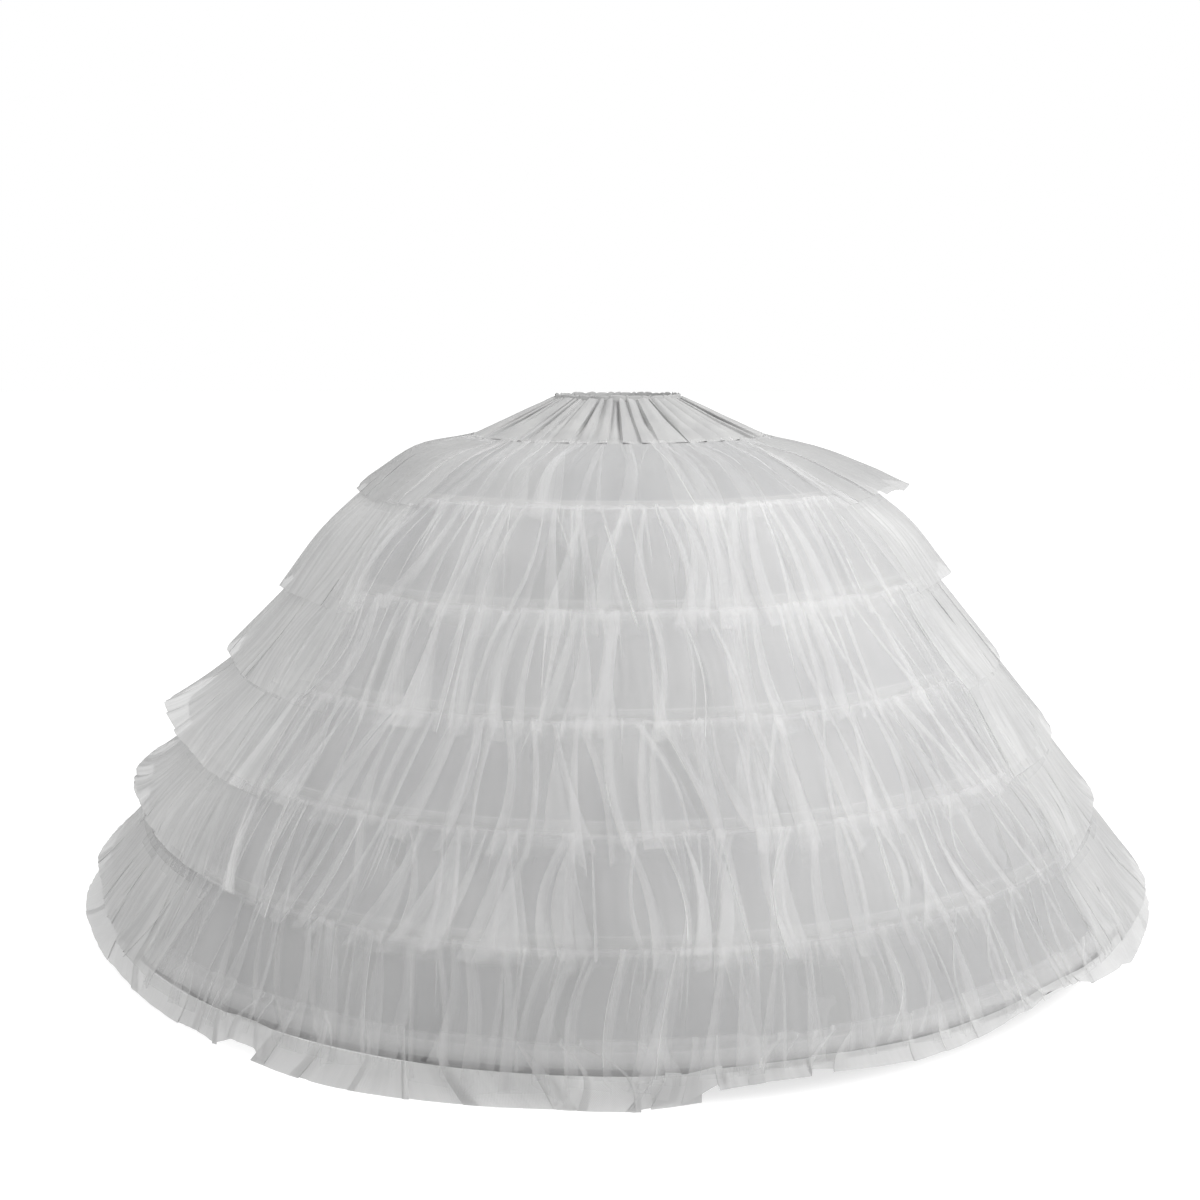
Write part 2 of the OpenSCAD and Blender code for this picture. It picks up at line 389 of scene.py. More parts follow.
netLook = {
    # how much of the view one layer hides, from spread to close net, and how pale that net is: the closest
    # kinds, which lie at the standing sides, are greyer as painted shade
    "covers": (0.08, 0.15, 0.22, 0.29, 0.36, 0.44, 0.54, 0.68, 0.84),
    "tones": (1.0, 1.0, 1.0, 1.0, 0.97, 0.94, 0.91, 0.88, 0.86),
    "openCover": 0.22,
    "hemCover": 0.08,  # at a raw edge, and at the hidden fold of a pleat
    "foldCover": 0.29,  # inside a pleat
    "sideCover": 0.84,  # where the hems stand out at the sides
    "sideShadeTone": 0.60,  # painted shade: a darker grey there on the first ruffle, which faces up to the light
    "creaseCover": 0.75,
    # painted highlight: the creased net is paler than the rest
    "creaseHighlightTone": 1.34,
    "flounceCover": 0.82,
    "flounceTone": 0.84,
    # painted shade: greyer than the white net, in place of the shadows its layers, which cast none, would
    # throw
    "low": (0.61, 0.61, 0.61),
    "high": (0.69, 0.69, 0.687),
    "palest": 0.97,
    "roughness": 0.65,
    "sheen": 0.25,
    "sheenRoughness": 0.4,
    "patch": 8.0,
    "mesh": 0.0012,
    "meshTurn": 45,  # degrees
    "meshDark": 0.93,
    "meshEnds": (0.2, 0.7),
    "streak": (0.0035, 0.14),  # width and length of the streaks that gathering leaves: painted shade of fine gathers in the net's colour, which also bump it
    "streakDark": 0.84,
    "smoothDark": 0.95,  # the same where the net is close
    "streakEnds": (0.36, 0.62),
    "bump": (0.35, 0.0006),
}


def netMaterial(name, cover, tone, streakDark):
    look = netLook
    material, nodes, links, shader = plainMaterial(name, look["high"], look["roughness"])
    shader.inputs["Alpha"].default_value = cover
    shader.inputs["Sheen Weight"].default_value = look["sheen"]
    shader.inputs["Sheen Roughness"].default_value = look["sheenRoughness"]
    low = tuple(c * tone for c in look["low"])
    high = tuple(min(c * tone, look["palest"]) for c in look["high"])
    tint = patchy(nodes, links, look["patch"], low, high)
    # painted shade of fine gathers: darker streaks along the net, also used as bump
    wide, long = look["streak"]
    place = mapped(nodes, links, clothMap(nodes), Scale=(1 / wide, 1 / long, 1))
    streak = grain(nodes, links, place, 0.5, 2.0)
    tint = shaded(nodes, links, tint, streak, streakDark, look["streakEnds"])
    weave = threads(nodes, links, look["mesh"], look["meshTurn"])
    tint = shaded(nodes, links, tint, weave, look["meshDark"], look["meshEnds"])
    links.new(tint, shader.inputs["Base Color"])
    height = mixed(nodes, links, "ADD", 1.0, weave, streak)
    bumped(nodes, links, shader, height, *look["bump"])
    return material


liningColours = {
    # painted shade: grey rather than the lining's own white, for the net over it, which casts no shadow
    "low": (0.32, 0.32, 0.324),
    "high": (0.37, 0.37, 0.37),
    "casing": (0.38, 0.38, 0.38),
    "stitch": (0.50, 0.50, 0.50),
    # painted shade: near black where the hem rolls under the bottom hoop
    "hem": (0.06, 0.06, 0.062),
    "roughness": 0.55,
    "sheen": 0.12,
    "patch": 5.0,
    "threadPitch": 0.0009,
    "threadDark": 0.94,
    "threadEnds": (0.1, 0.8),
    "stitchPitch": 0.0032,
    "stitchGap": 0.22,  # a higher value leaves more room between stitches
    "bump": (0.2, 0.0002),
}


def liningMaterial():
    look = liningColours
    material, nodes, links, shader = plainMaterial("lining", look["high"], look["roughness"])
    shader.inputs["Sheen Weight"].default_value = look["sheen"]
    base = patchy(nodes, links, look["patch"], look["low"], look["high"])
    weave = threads(nodes, links, look["threadPitch"])
    base = shaded(nodes, links, base, weave, look["threadDark"], look["threadEnds"])
    dash = bands(nodes, links, clothMap(nodes), look["stitchPitch"])
    shown = math2(nodes, links, "GREATER_THAN", dash, look["stitchGap"])
    stitch = math2(nodes, links, "MULTIPLY", marked(nodes, "stitch"), shown)
    base = mixed(nodes, links, "MIX", marked(nodes, "casing"), base, look["casing"])
    base = mixed(nodes, links, "MIX", stitch, base, look["stitch"])
    # painted shade along the rolled hem under the bottom hoop
    base = mixed(nodes, links, "MIX", marked(nodes, "hem"), base, look["hem"])
    links.new(base, shader.inputs["Base Color"])
    bumped(nodes, links, shader, weave, *look["bump"])
    return material


waistColours = {
    "low": (0.36, 0.36, 0.36),
    "high": (0.44, 0.44, 0.436),
    "roughness": 0.7,
    "sheen": 0.15,
    "patch": 18.0,
    "threadPitch": 0.0008,
    "threadDark": 0.93,
    "threadEnds": (0.1, 0.8),
    "bump": (0.3, 0.0003),
}


def waistMaterial():
    look = waistColours
    material, nodes, links, shader = plainMaterial("waistCloth", look["high"], look["roughness"])
    shader.inputs["Sheen Weight"].default_value = look["sheen"]
    base = patchy(nodes, links, look["patch"], look["low"], look["high"])
    weave = threads(nodes, links, look["threadPitch"])
    base = shaded(nodes, links, base, weave, look["threadDark"], look["threadEnds"])
    links.new(base, shader.inputs["Base Color"])
    bumped(nodes, links, shader, weave, *look["bump"])
    return material


tapeColours = {
    "low": (0.60, 0.60, 0.60),
    "high": (0.72, 0.72, 0.715),
    "roughness": 0.75,
    "patch": 25.0,
    "twillPitch": 0.0016,
    "twillTurn": 35,  # degrees
    "twillDark": 0.9,
    "twillEnds": (0.1, 0.7),
    "bump": (0.4, 0.0004),
}


def tapeMaterial():
    look = tapeColours
    material, nodes, links, shader = plainMaterial("casingTape", look["high"], look["roughness"])
    slant = mapped(nodes, links, clothMap(nodes), Rotation=(0, 0, math.radians(look["twillTurn"])))
    twill = bands(nodes, links, slant, look["twillPitch"])
    base = patchy(nodes, links, look["patch"], look["low"], look["high"])
    base = shaded(nodes, links, base, twill, look["twillDark"], look["twillEnds"])
    links.new(base, shader.inputs["Base Color"])
    bumped(nodes, links, shader, twill, *look["bump"])
    return material


stripColours = {
    "low": (0.74, 0.74, 0.73),
    "high": (0.84, 0.84, 0.83),
    "ends": (0.35, 0.6),
    "roughness": (0.5, 0.3),
    "coat": 0.2,
    "patch": 60.0,
    "pimple": 400.0,
    "bump": (0.1, 0.0002),
}


def stripMaterial():
    look = stripColours
    material, nodes, links, shader = plainMaterial("coatedStrip", look["high"], look["roughness"][1])
    shader.inputs["Coat Weight"].default_value = look["coat"]
    patch = clouds(nodes, links, look["patch"])
    base = ramp(nodes, links, patch, (look["ends"][0], look["low"]), (look["ends"][1], look["high"]))
    links.new(base, shader.inputs["Base Color"])
    roughened(nodes, links, shader, patch, *look["roughness"])
    bumped(nodes, links, shader, clouds(nodes, links, look["pimple"]), *look["bump"])
    return material


zincColours = {
    "low": (0.50, 0.51, 0.53),
    "high": (0.66, 0.67, 0.69),
    "roughness": (0.5, 0.3),
    "drawn": (40, 900, 900),  # marks a metre, few along the sleeve and many across
    "bump": (0.2, 0.0001),
}


def zincMaterial():
    look = zincColours
    material, nodes, links, shader = plainMaterial("zincSleeve", look["high"], look["roughness"][1])
    shader.inputs["Metallic"].default_value = 1.0
    place = mapped(nodes, links, objectMap(nodes), Scale=look["drawn"])
    mark = grain(nodes, links, place, 1.0, 4.0)
    links.new(ramp(nodes, links, mark, (0.3, look["low"]), (0.7, look["high"])), shader.inputs["Base Color"])
    roughened(nodes, links, shader, mark, *look["roughness"])
    bumped(nodes, links, shader, mark, *look["bump"])
    return material


elasticColours = {
    "low": (0.66, 0.66, 0.65),
    "high": (0.80, 0.80, 0.79),
    "roughness": 0.8,
    "rib": 0.0011,
    "ribEnds": (0.1, 0.8),
    "spot": 300.0,
    "spotDark": 0.9,
    "spotEnds": (0.35, 0.6),
    "bump": (0.5, 0.0003),
}


def elasticMaterial():
    look = elasticColours
    material, nodes, links, shader = plainMaterial("wovenElastic", look["high"], look["roughness"])
    rib = bands(nodes, links, objectMap(nodes), look["rib"], "Z")
    base = ramp(nodes, links, rib, (look["ribEnds"][0], look["low"]), (look["ribEnds"][1], look["high"]))
    base = shaded(nodes, links, base, clouds(nodes, links, look["spot"]), look["spotDark"], look["spotEnds"])
    links.new(base, shader.inputs["Base Color"])
    bumped(nodes, links, shader, rib, *look["bump"])
    return material


netKinds = [
    netMaterial(f"net{round(cover * 100)}", cover, tone, netLook["streakDark"])
    for cover, tone in zip(netLook["covers"], netLook["tones"])
]
# closer net for sharp pleat edges, paler as a painted highlight
creaseHighlightKind = len(netKinds)
netKinds.append(netMaterial("creaseHighlightNet", netLook["creaseCover"], netLook["creaseHighlightTone"], 1.0))
hemKind = len(netKinds)
netKinds.append(netMaterial("hemNet", netLook["flounceCover"], netLook["flounceTone"], netLook["smoothDark"]))
# painted shade: a darker copy of the close net, for the first ruffle's sides
sideShadeKind = len(netKinds)
netKinds.append(netMaterial("sideShadeNet", netLook["sideCover"], netLook["sideShadeTone"], netLook["smoothDark"]))
lining = liningMaterial()
waistCloth = waistMaterial()
casingTape = tapeMaterial()
cadFinishes = {
    "hoop_joiner_": zincMaterial(),
    "hoop_": stripMaterial(),
    "waist_elastic": elasticMaterial(),
}
print("materials made")


# the lining's values, which the net over it also follows

liningLook = {
    "columns": 288,
    "thick": 0.0008,
    "sewnAt": 0.001,  # from the outer face in to where a casing is sewn on
    "ripple": 0.0014,
    "bow": (0.009, 0.003),  # how far the first tiers swell out between their seams
    "casingRidge": 0.0003,
    "hemDark": 0.006,  # how far up the painted shade of the bottom hoop reaches
    "lap": (0.0016, 0.0004),  # how far a tier's top edge lies over the tier above, and how far out
    "lapReach": 0.012,  # how far down it still stands out
    "calmEdge": 0.03,  # from an edge to where the cloth ripples fully
    "plainRows": 12,
    "stitchIn": 0.0018,  # from a casing's edge to its stitching
    "stitchWide": 0.0010,
    # the lowest tier's hem rolls under the bottom hoop: how far below the seam, and how far in
    "hemRoll": ((0.0030, 0.0085), (0.0050, 0.0068), (0.0058, 0.0042),
                (0.0050, 0.0016), (0.0028, 0.0003)),
}


def bowed(tier, down):
    # how far a tier swells out at a distance below its upper seam
    size = liningLook["bow"][tier - 1] if tier <= len(liningLook["bow"]) else 0.0
    return size * np.sin(math.pi * np.clip(down / tierLength(tier), 0, 1)) ** 2


# ruffles: one for each seam, and the short flounce at the hem

ruffleLook = {
    "pleatPitch": 0.045,  # mean distance from pleat to pleat, half way down
    "pitchStray": 0.45,  # how uneven that distance is
    "shortEach": 1.5,  # short gathers at the stitching for each pleat
    "topRun": (0.002, 0.016),  # how far a pleat folds back at the stitching
    "hemRun": (0.004, 0.036),  # and at the hem
    "runSkew": 1.3,  # above 1, more of the pleats are narrow
    "leastRun": 0.0015,
    "shortRun": (0.001, 0.007),
    "shortEnd": (0.12, 1.0),  # share of the depth where a short gather has opened out
    "shortLeast": (0.0008, 5),  # the run, and the turn in degrees, that it keeps
    "topTurn": 176,  # degrees that the cloth turns at a fold: 180 lies flat
    "openTurn": (120, 155),  # pleats that stand open at the hem
    "openPleats": 0.06,
    "flatTurn": (168, 177),
    "sameSide": 0.6,  # share of the pleats that fold the same way
    "topRoll": 0.0004,  # radius of a fold
    "hemRoll": (0.0005, 0.0013),
    "lean": 0.030,  # how far pleats drift sideways on their way down
    "leanStray": 0.4,  # how far a pleat departs from its neighbours' drift
    "sway": 0.014,
    "frill": 0.007,  # net left above the stitching
    "topEdge": (-0.005, 0.004),  # how uneven its edge is
    "puff": 0.003,
    "puffShare": (0.2, 1.0),
    "puffWaves": (0.6, 1.8),  # half waves from the stitching to the hem
    "crumple": 0.0024,  # waves in the net between pleats
    "crumpleShare": (0.3, 1.0),
    "crumpleDrift": 2.5,  # radians that they move sideways on the way down
    "ripple": (0.014, 0.030),
    "sideCalm": 0.7,  # how much smoother the net is at the two sides
    "seat": 0.003,  # from the lining out to the net at the stitching
    "stitchedAt": 0.002,  # below the seam
    "droop": 0.12,  # how far the way down goes on past the next seam
    "lastFall": (0.2, -1.0),  # its direction past the bottom hoop
    # how far past the next seam a hem lies, and how far it stands off the lining
    "frontHem": (0.028, 0.005),
    # the same at the two sides, tier by tier
    "leftHem": ((0.016, 0.014), (0.045, 0.022), (0.019, 0.032),
                (-0.020, 0.074), (-0.056, 0.056), (-0.032, 0.036)),
    "rightHem": ((0.050, 0.056), (0.022, 0.030), (0.018, 0.012),
                 (0.008, 0.020), (-0.012, 0.018), (0.004, 0.028)),
    "frontPuff": (0.003, 0.002, 0.0, 0.0, 0.0, 0.0),
    "sidePuff": ((0.008, 0.0), (0.006, 0.006), (0, 0), (0, 0), (0, 0), (0, 0)),  # left and right
    "tipBend": (1.8, 1.0, 1.0, 1.0, 1.0, 1.0),  # 1 stands out evenly, more bends out near the hem
    "swell": 0.003,
    "rows": 13,
    "rowSpread": 1.1,  # above 1, rows are closer near the stitching
    "coverShare": (0.32, 0.95, 1.0, 1.0, 0.94, 0.76, 1.0),  # how closely each ruffle is gathered; the first and the sixth are sparser so more grey lining shows, painted shade for the first, which faces up to the light, and darker towards the bottom
    "frillShare": 1.3,  # how much closer the net is above the stitching
    # degrees: the middle of the close net at each side, where it begins to open, and where it is open
    "closeAt": ((-10, 18, 32), (-172, 22, 42)),
    "closeFrom": (-0.06, 0.14, 0.10),  # share of the drop where it becomes close, and how uneven that is
    "closeFrill": 0.7,  # the frill is more sheer
    "sideShadeFrom": 0.5,  # how close the first ruffle's net is where it gets the painted shade
    "tipAt": (-15, -165),  # degrees: where the hems stand out the most
    "tipWide": (24, 40),  # degrees towards the front and towards the back
    "sideOpen": 0.97,  # share of the pleats there that open out flat
    "sideFlat": 0.95,  # how flat those are
    "wander": 0.007,  # how far the hem drifts up and down
    "jump": 0.009,  # and how far it steps at a pleat
    "lowWander": 0.004,  # the same on the lowest ruffle and the flounce
    "lowJump": 0.008,
    "jumpSides": 1.4,  # the steps grow smaller towards the sides
    "wanderSides": 0.6,
    "creased": 0.3,  # share of pleats with a sharp front edge, which gets closer net with a painted highlight
    "shorter": 0.0,  # how much shorter than the hems given here
    "standShare": 1.0,  # share of the given distances off the lining
    "flounceRise": 0.030,  # from the bottom seam up to its stitching
    "flounceHem": 0.03,  # from that seam down to its hem, before flouncePast
    "flounceFrom": 0.6,  # share of its drop below which the flounce is of close net
    "flounceStand": 0.008,
    "flounceSwell": 0.5,
    "flounceJumps": 0.15,  # share of its pleats where the hem steps
    "flounceSides": (0.020, 0.016),  # how much further it stands off at the sides
    # how far the lowest ruffle and the flounce hang past the bottom hoop, at angles in degrees
    "lowPast": ((-180, -0.034), (-160, -0.030), (-145, 0.0), (-135, 0.014), (-125, 0.024),
                (-100, 0.028), (-85, 0.024), (-80, 0.012), (-66, 0.010), (-57, 0.008),
                (-45, 0.004), (-36, 0.006), (-20, 0.008), (0, 0.012), (90, 0.020)),
    "flouncePast": ((-180, 0.026), (-150, 0.033), (-125, 0.049), (-110, 0.052), (-100, 0.049),
                    (-83, 0.042), (-79, 0.022), (-66, 0.020), (-57, 0.016), (-45, 0.006),
                    (-38, 0.020), (-32, 0.044), (-20, 0.044), (0, 0.038), (90, 0.034)),
    # notches in the flounce: middle and half width in degrees, and depth
    "notches": ((-122.5, 1.3, 0.022), (-96.5, 1.2, 0.014), (-81, 1.5, 0.010), (-71, 1.2, 0.014),
                (-49, 1.6, 0.010), (-35, 1.5, 0.012), (25, 1.4, 0.016), (61, 1.2, 0.012),
                (104, 1.4, 0.018), (148, 1.3, 0.012)),
}
underLook = dict(  # a plainer layer of net under each ruffle but the flounce
    ruffleLook,
    pleatPitch=0.060,
    shortEach=0.6,
    hemRun=(0.003, 0.030),
    openPleats=0.0,
    rows=10,
    creased=0.1,
    frontHem=(0.012, 0.003),
    shorter=0.016,
    standShare=0.55,
)
flounceLook = dict(ruffleLook, pleatPitch=0.060, shortEach=0.5, openPleats=0.0, rows=12, creased=0.15)


def sides(angle, left, right):
    # a value at the two sides that is 0 at the front and back
    return left * np.clip(-np.cos(angle), 0, 1) ** 2 + right * np.clip(np.cos(angle), 0, 1) ** 2


def eased(values, low, high):
    t = np.clip((values - low) / (high - low), 0, 1)
    return t * t * (3 - 2 * t)


def degreesFrom(angle, place):
    return (np.degrees(angle) - place + 180) % 360 - 180


def besideHem(angle, look):
    # 1 where the net is close at the sides, and 0 elsewhere
    return sum(1 - eased(np.abs(degreesFrom(angle, at)), near, far) for at, near, far in look["closeAt"])


def tips(angle, look, left, right):
    # a value where the hems stand out at the two sides, which falls to 0 towards the front and back
    front, back = look["tipWide"]
    rightAway = degreesFrom(angle, look["tipAt"][0])
    leftAway = -degreesFrom(angle, look["tipAt"][1])
    shares = (np.exp(-np.abs(away) / np.where(away < 0, front, back)) for away in (leftAway, rightAway))
    return sum(value * share for value, share in zip((left, right), shares))


def around(angle, table):
    # a value given at some angles, in degrees, and eased between them
    at, values = zip(*table)
    degrees = np.arange(-180, 180, 3)
    fine = np.interp(degrees, at, values, period=360)
    kernel = np.hanning(5)
    padded = np.concatenate((fine[-2:], fine, fine[:2]))
    soft = np.convolve(padded, kernel / kernel.sum(), "valid")
    return np.interp(np.degrees(angle), degrees, soft, period=360)


def pleatSet(rng, down, depth, radiusMid, look):
    mainCount = int(fullTurn * radiusMid / look["pleatPitch"])
    stray = rng.uniform(-look["pitchStray"], look["pitchStray"], mainCount)
    mainAt = np.arange(mainCount) + stray
    shortAt = rng.uniform(0, mainCount, int(mainCount * look["shortEach"]))
    place = np.concatenate((mainAt, shortAt))
    order = np.argsort(place)
    isShort = (np.arange(len(place)) >= mainCount)[order]
    count = len(place)
    angle = fullTurn * place[order] / mainCount
    u = np.clip(down / depth, 0, 1)[:, None]

    def between(low, high):
        return rng.uniform(low, high, count)[None, :]

    def skewed(low, high):
        return low + (high - low) * rng.random(count)[None, :] ** look["runSkew"]

    topRun = skewed(*look["topRun"])
    hemRun = skewed(*look["hemRun"])
    shortRun = between(*look["shortRun"])
    standsOpen = rng.random(count) < look["openPleats"]
    hemTurn = np.where(standsOpen, between(*look["openTurn"]), between(*look["flatTurn"]))
    hemRoll = between(*look["hemRoll"])
    gone = np.clip(u / between(*look["shortEnd"]), 0, 1)
    drift = wave(angle, rng, 2, 9) * look["lean"] + rng.normal(0, look["leanStray"], count) * look["lean"]
    drift = np.where(isShort, wave(angle, rng, 2, 9) * look["lean"], drift)
    sway = wave(angle, rng, 5, 20) * look["sway"]
    waves = between(*look["puffWaves"]) * math.pi * u + between(0, fullTurn)
    puff = between(*look["puffShare"]) * look["puff"] * np.sin(waves) * np.clip(u * 4, 0, 1)
    longRun = topRun + (hemRun - topRun) * u
    longTurn = look["topTurn"] + (hemTurn - look["topTurn"]) * u ** 2
    calm = 1 - look["sideCalm"] * sides(angle, 1, 1)[None, :]
    longRun = np.maximum(longRun * calm, look["leastRun"])
    opened = rng.random(count) < besideHem(angle, look) * look["sideOpen"]
    folded = 1 - look["sideFlat"] * opened[None, :]
    leastShort, leastTurn = look["shortLeast"]
    shortened = np.maximum(shortRun * (1 - gone) ** 2, leastShort)
    shortTurn = np.maximum(look["topTurn"] * (1 - gone ** 3), leastTurn)
    turn = np.where(isShort, shortTurn, longTurn) * folded
    phase = u * between(-look["crumpleDrift"], look["crumpleDrift"]) + between(0, fullTurn)
    return {
        "angle": angle[None, :],
        "shift": drift[None, :] * u + sway[None, :] * np.sin(math.pi * u),
        "run": np.where(isShort, shortened, longRun),
        "turn": np.radians(turn),
        "roll": look["topRoll"] + (hemRoll - look["topRoll"]) * u,
        "side": np.where(rng.random(count) < look["sameSide"], 1.0, -1.0),
        "puff": puff * calm,
        "crumple": look["crumple"] * calm * between(*look["crumpleShare"]) * np.clip(u * 2, 0.2, 1),
        "ripple": between(*look["ripple"]) + 0 * u,
        "phase": phase,
        "topEdge": rng.uniform(*look["topEdge"], count),
        "isShort": isShort,
        "count": count,
    }


def makeRuffle(number, look, name):
    rng = np.random.default_rng(100 + number + len(name))
    flounce = number > hoopCount
    lowest = number == hoopCount
    tier = min(number, hoopCount)
    length = tierLength(tier)
    fall = unit(seams[tier] - seams[tier - 1])
    after = unit(seams[tier + 1] - seams[tier]) if tier < hoopCount else np.array(look["lastFall"])
    droop = seams[tier] + unit(fall + after) * look["droop"]
    path = pathFrom((seams[tier - 1], seams[tier], droop), 0.05, 0.0, 0.03)
    start = length - look["flounceRise"] if flounce else look["stitchedAt"]
    past, stand = (look["flounceHem"], look["flounceStand"]) if flounce else look["frontHem"]
    depth = length + past - start
    down = np.linspace(0, 1, look["rows"]) ** look["rowSpread"] * depth
    down = np.concatenate(((-look["frill"], -look["frill"] / 2), down))
    u = np.clip(down / depth, 0, 1)
    seat = look["seat"] * look["standShare"]
    middle = seat + (stand - seat) * u ** (2 if flounce else 0.9)
    radiusMid = onPath(path, start + depth / 2, 0)[0]
    pleats = pleatSet(rng, down, depth, radiusMid, look)
    count = pleats["count"]
    swellSeed = int(rng.integers(1 << 30))

    def swell(angle):
        fallen = u[:, None]
        out = wave(angle, np.random.default_rng(swellSeed), 5, 17) * look["swell"] * fallen
        if flounce:
            return out * look["flounceSwell"] + tips(angle, look, *look["flounceSides"]) * fallen ** 2
        left = look["leftHem"][tier - 1][1] * look["standShare"] - stand
        right = look["rightHem"][tier - 1][1] * look["standShare"] - stand
        bow = look["frontPuff"][tier - 1] + sides(angle, *look["sidePuff"][tier - 1])
        out = out + tips(angle, look, left, right) * fallen ** look["tipBend"][tier - 1]
        out = out + bow * look["standShare"] * np.sin(math.pi * fallen)
        return out + bowed(tier, start + down)[:, None]

    pleats["swell"] = swell
    low = lowest or flounce
    jumps = rng.normal(0, 1, (count, 2)) * look["lowJump" if low else "jump"]
    if flounce:
        jumps = -np.abs(jumps) * (rng.random((count, 1)) < look["flounceJumps"])
    jumps[pleats["isShort"]] = 0
    at = pleats["angle"][0]
    aside = sides(at, 1, 1)
    jumps *= 1 - np.clip(look["jumpSides"] * aside, 0, 1)[:, None]
    drifting = wave(at, rng, 3, 14) * look["lowWander" if low else "wander"]
    drifting = drifting * (1 - look["wanderSides"] * aside)
    wander = jumps + drifting[:, None]
    if flounce:
        longer = around(at, look["flouncePast"]) - past
        for place, wide, deep in look["notches"]:
            longer = longer - deep * np.exp(-(degreesFrom(at, place) / wide) ** 2)
    elif lowest:
        longer = around(at, look["lowPast"]) - past - look["shorter"]
    else:
        hems = (side[tier - 1][0] - look["shorter"] - past for side in (look["leftHem"], look["rightHem"]))
        longer = tips(at, look, *hems)
    wander = wander + longer[:, None]
    arc, straight, plain = counts = (4, 3, 6)
    block = 2 * arc + straight + plain
    faceRows = len(down) - 1
    # across one pleat, from its hidden fold to the edge that shows
    openCover, hemCover, foldCover = (netLook[key] for key in ("openCover", "hemCover", "foldCover"))
    fold = np.array([hemCover] * arc + [openCover] + [foldCover] * (arc + straight - 2))
    cover = np.full((faceRows, count, block), openCover)
    if not low:
        cover[-1, :, len(fold):] = hemCover
    front = pleats["side"] > 0
    long = ~pleats["isShort"]
    cover[:, long & front, :len(fold)] = fold
    cover[:, long & ~front, :len(fold)] = fold[::-1]
    cover[:2] *= look["frillShare"]
    closeStart, closeEnd, uneven = look["closeFrom"]
    reached = eased(u[1:, None] - rng.random(count) * uneven, closeStart, closeEnd)
    close = besideHem(at, look)[None, :] * reached
    close[:2] *= look["closeFrill"]
    # painted shade: a sparser net lets the grey lining darken some ruffles
    cover *= look["coverShare"][number - 1]
    cover += (netLook["sideCover"] - cover) * close[:, :, None]
    kinds = np.abs(cover[..., None] - np.array(netLook["covers"])).argmin(axis=-1)
    if flounce:
        kinds[u[1:] > look["flounceFrom"]] = hemKind
    elif number == 1:
        # the first ruffle's close sides get the painted shade
        kinds[close > look["sideShadeFrom"]] = sideShadeKind
    # closer net along a pleat's front edge, with a painted highlight
    for pleat in np.flatnonzero(long & (rng.random(count) < look["creased"])):
        edge = arc + straight + arc // 2 if front[pleat] else arc // 2 - 1
        top, end = np.sort(rng.integers(1, faceRows, 2))
        kinds[top:end + 2, pleat, edge] = creaseHighlightKind
    kinds = kinds.reshape(faceRows, -1)
    shifted = dict(path, down=path["down"] - start)
    piece, width = foldedCloth(name, shifted, down, middle, pleats, wander, counts, kinds)
    for material in netKinds:
        piece.data.materials.append(material)
    piece.visible_shadow = False  # sheer net hardly shades what lies under it; the shade it does throw is painted into the net's and the lining's colours
    print(name, "folds", count, "net", round(width, 2), "m, faces", len(piece.data.polygons))
    return piece


for ruffle in range(1, ruffleCount + 1):
    look = ruffleLook if ruffle <= hoopCount else flounceLook
    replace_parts(makeRuffle(ruffle, look, f"netRuffle{ruffle}"), f"ruffle_{ruffle}")
    if ruffle <= hoopCount:
        makeRuffle(ruffle, underLook, f"netUnder{ruffle}")


# lining tiers: one flared piece between each pair of seams

def casingEdges(tier):
    # how far above its seam a casing's lower and upper edges lie
    fallR, fallZ = unit(seams[tier] - seams[tier - 1])
    within = liningLook["sewnAt"]
    lowUp = (seams[tier][0] - halfWidth(f"hoop_casing_{tier}") + fallZ * within) / fallR
    highUp = (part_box(f"hoop_casing_{tier}")[1].z - seams[tier][1] + fallR * within) / -fallZ
    return lowUp, highUp


